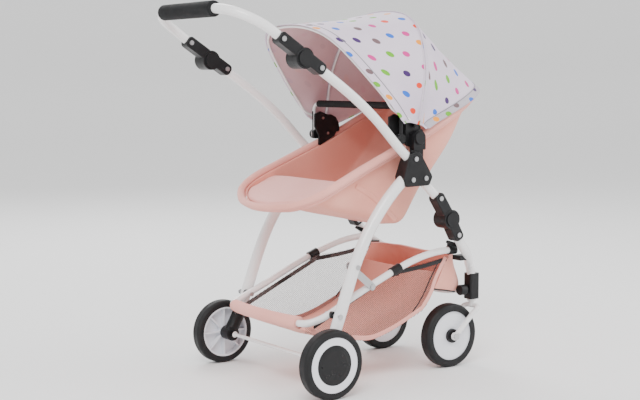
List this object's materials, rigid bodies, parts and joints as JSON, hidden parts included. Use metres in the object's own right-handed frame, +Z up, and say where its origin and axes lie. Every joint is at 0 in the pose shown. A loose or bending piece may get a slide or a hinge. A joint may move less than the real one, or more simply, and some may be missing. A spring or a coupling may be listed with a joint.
{
  "type": "doll stroller",
  "caption": "Folding toy stroller for dolls with a lift-off tilting fabric seat, a folding hood, a mesh basket underneath and swivelling front wheels.",
  "frame": {"origin": "on the floor, under the middle of the stroller's overall length and width", "axes": "+X forward, the way it is pushed; +Y to the pusher's left; +Z up"},
  "size_m": [0.5863, 0.3692, 0.6419],
  "materials": {
    "white_tube": "gloss white paint",
    "black_plastic": "satin, fine moulded grain",
    "white_plastic": "gloss",
    "steel": "zinc plated",
    "black_foam": "closed-cell foam",
    "tyre": "matte",
    "seat_fabric": "woven polyester, salmon pink",
    "mesh_fabric": "open knitted mesh",
    "hood_fabric": "smooth printed polyester with dots"
  },
  "bodies": {
    "chassis": {"rear_legs": "white_tube", "rear_leg_sockets": "black_plastic", "rear_axle": "white_tube", "junction_brackets": "black_plastic", "seat_posts": "black_plastic", "front_leg_stubs": "white_tube", "front_hinge_upper_halves": "black_plastic", "handle_lower_tubes": "white_tube", "handle_hinge_lower_halves": "black_plastic", "basket_tube": "white_tube", "basket_clips": "black_plastic", "basket_brace": "steel", "frame_rivets": "steel", "basket_rear_sleeve": "seat_fabric", "basket_floor": "seat_fabric", "basket_mesh_sides": "mesh_fabric"},
    "front_frame": {"front_legs": "white_tube", "front_hinge_lower_halves": "black_plastic", "front_crossbar": "white_tube", "caster_housings": "black_plastic", "basket_saddles": "black_plastic", "basket_front_pouch": "seat_fabric", "front_frame_rivets": "steel"},
    "handle": {"handle_tube": "white_tube", "handle_grip": "black_foam", "handle_hinge_upper_halves": "black_plastic", "handle_rivets": "steel"},
    "seat_mount": {"seat_adapters": "black_plastic"},
    "seat": {"seat_rim": "white_tube", "seat_brackets": "black_plastic", "seat_shell": "seat_fabric", "seat_floor_pad": "seat_fabric", "hood_rear_panel": "hood_fabric"},
    "hood_mid": {"hood_mid_hoop": "white_tube"},
    "hood_front": {"hood_front_hoop": "white_tube", "hood_front_panel": "hood_fabric"},
    "bumper": {"bumper_bar": "white_tube", "bumper_sleeve": "black_foam"},
    "rear_wheel_left": {"rear_tyre_left": "tyre", "rear_hub_left": "white_plastic", "rear_hub_cap_left": "black_plastic"},
    "caster_left": {"caster_fork_left": "white_tube", "caster_bolt_left": "steel"},
    "caster_wheel_left": {"caster_tyre_left": "tyre", "caster_disc_left": "white_plastic"},
    "handle_button_left": {"handle_button_left": "black_plastic"},
    "front_hinge_button_left": {"front_hinge_button_left": "black_plastic"},
    "latch_lever_left": {"latch_lever_left": "black_plastic"},
    "swivel_lock_knob_left": {"swivel_lock_knob_left": "black_plastic"},
    "rear_wheel_right": {"rear_tyre_right": "tyre", "rear_hub_right": "white_plastic", "rear_hub_cap_right": "black_plastic"},
    "caster_right": {"caster_fork_right": "white_tube", "caster_bolt_right": "steel"},
    "caster_wheel_right": {"caster_tyre_right": "tyre", "caster_disc_right": "white_plastic"},
    "handle_button_right": {"handle_button_right": "black_plastic"},
    "front_hinge_button_right": {"front_hinge_button_right": "black_plastic"},
    "latch_lever_right": {"latch_lever_right": "black_plastic"},
    "swivel_lock_knob_right": {"swivel_lock_knob_right": "black_plastic"}
  },
  "joints": [
    {"name": "front_fold", "type": "hinge", "parent": "chassis", "child": "front_frame", "pos_m": [0.1474, 0, 0.2748], "axis": [0, 1, 0], "range_deg": [0, 45], "deforming": ["basket_floor", "basket_mesh_sides", "basket_front_pouch"]},
    {"name": "handle_fold", "type": "hinge", "parent": "chassis", "child": "handle", "pos_m": [-0.1593, 0, 0.5507], "axis": [0, 1, 0], "range_deg": [-105, 30]},
    {"name": "seat_lift", "type": "slide", "parent": "chassis", "child": "seat_mount", "axis": [0, 0, 1], "range_m": [0, 0.12]},
    {"name": "seat_tilt", "type": "hinge", "parent": "seat_mount", "child": "seat", "pos_m": [0.0871, 0, 0.417], "axis": [0, 1, 0], "range_deg": [-12, 20]},
    {"name": "bumper_swing", "type": "hinge", "parent": "seat", "child": "bumper", "pos_m": [0.0551, 0, 0.416], "axis": [0, 1, 0], "range_deg": [-100, 0]},
    {"name": "hood_mid_fold", "type": "hinge", "parent": "seat", "child": "hood_mid", "pos_m": [0.0831, 0, 0.439], "axis": [0, 1, 0], "range_deg": [0, 45], "deforming": ["hood_rear_panel"]},
    {"name": "hood_front_fold", "type": "hinge", "parent": "hood_mid", "child": "hood_front", "pos_m": [0.0831, 0, 0.439], "axis": [0, 1, 0], "range_deg": [0, 45], "deforming": ["hood_front_panel"]},
    {"name": "rear_wheel_left_spin", "type": "hinge", "parent": "chassis", "child": "rear_wheel_left", "pos_m": [-0.1212, 0.1721, 0.0575], "axis": [0, 1, 0], "continuous": true},
    {"name": "caster_left_swivel", "type": "hinge", "parent": "front_frame", "child": "caster_left", "pos_m": [0.2461, 0.0978, 0.125], "axis": [0, 0, 1], "continuous": true},
    {"name": "caster_wheel_left_spin", "type": "hinge", "parent": "caster_left", "child": "caster_wheel_left", "pos_m": [0.1914, 0.0978, 0.0575], "axis": [0, 1, 0], "continuous": true},
    {"name": "handle_button_left_press", "type": "slide", "parent": "handle", "child": "handle_button_left", "axis": [0, -1, 0], "range_m": [0, 0.004], "stiffness_N_per_m": 300},
    {"name": "front_hinge_button_left_press", "type": "slide", "parent": "chassis", "child": "front_hinge_button_left", "axis": [0, -1, 0], "range_m": [0, 0.004], "stiffness_N_per_m": 300},
    {"name": "latch_lever_left_turn", "type": "hinge", "parent": "chassis", "child": "latch_lever_left", "pos_m": [0.1721, 0.1339, 0.2265], "axis": [0, 1, 0], "range_deg": [0, 30]},
    {"name": "swivel_lock_knob_left_press", "type": "slide", "parent": "front_frame", "child": "swivel_lock_knob_left", "axis": [1, 0, 0], "range_m": [0, 0.0035]},
    {"name": "rear_wheel_right_spin", "type": "hinge", "parent": "chassis", "child": "rear_wheel_right", "pos_m": [-0.1212, -0.1721, 0.0575], "axis": [0, 1, 0], "continuous": true},
    {"name": "caster_right_swivel", "type": "hinge", "parent": "front_frame", "child": "caster_right", "pos_m": [0.2461, -0.0978, 0.125], "axis": [0, 0, 1], "continuous": true},
    {"name": "caster_wheel_right_spin", "type": "hinge", "parent": "caster_right", "child": "caster_wheel_right", "pos_m": [0.1914, -0.0978, 0.0575], "axis": [0, 1, 0], "continuous": true},
    {"name": "handle_button_right_press", "type": "slide", "parent": "handle", "child": "handle_button_right", "axis": [0, -1, 0], "range_m": [0, 0.004], "stiffness_N_per_m": 300},
    {"name": "front_hinge_button_right_press", "type": "slide", "parent": "chassis", "child": "front_hinge_button_right", "axis": [0, -1, 0], "range_m": [0, 0.004], "stiffness_N_per_m": 300},
    {"name": "latch_lever_right_turn", "type": "hinge", "parent": "chassis", "child": "latch_lever_right", "pos_m": [0.1721, -0.1339, 0.2265], "axis": [0, 1, 0], "range_deg": [0, 30]},
    {"name": "swivel_lock_knob_right_press", "type": "slide", "parent": "front_frame", "child": "swivel_lock_knob_right", "axis": [1, 0, 0], "range_m": [0, 0.0035]}
  ],
  "couplings": [
    {"joint": "hood_front_fold", "follows": "hood_mid_fold", "ratio": 1}
  ]
}
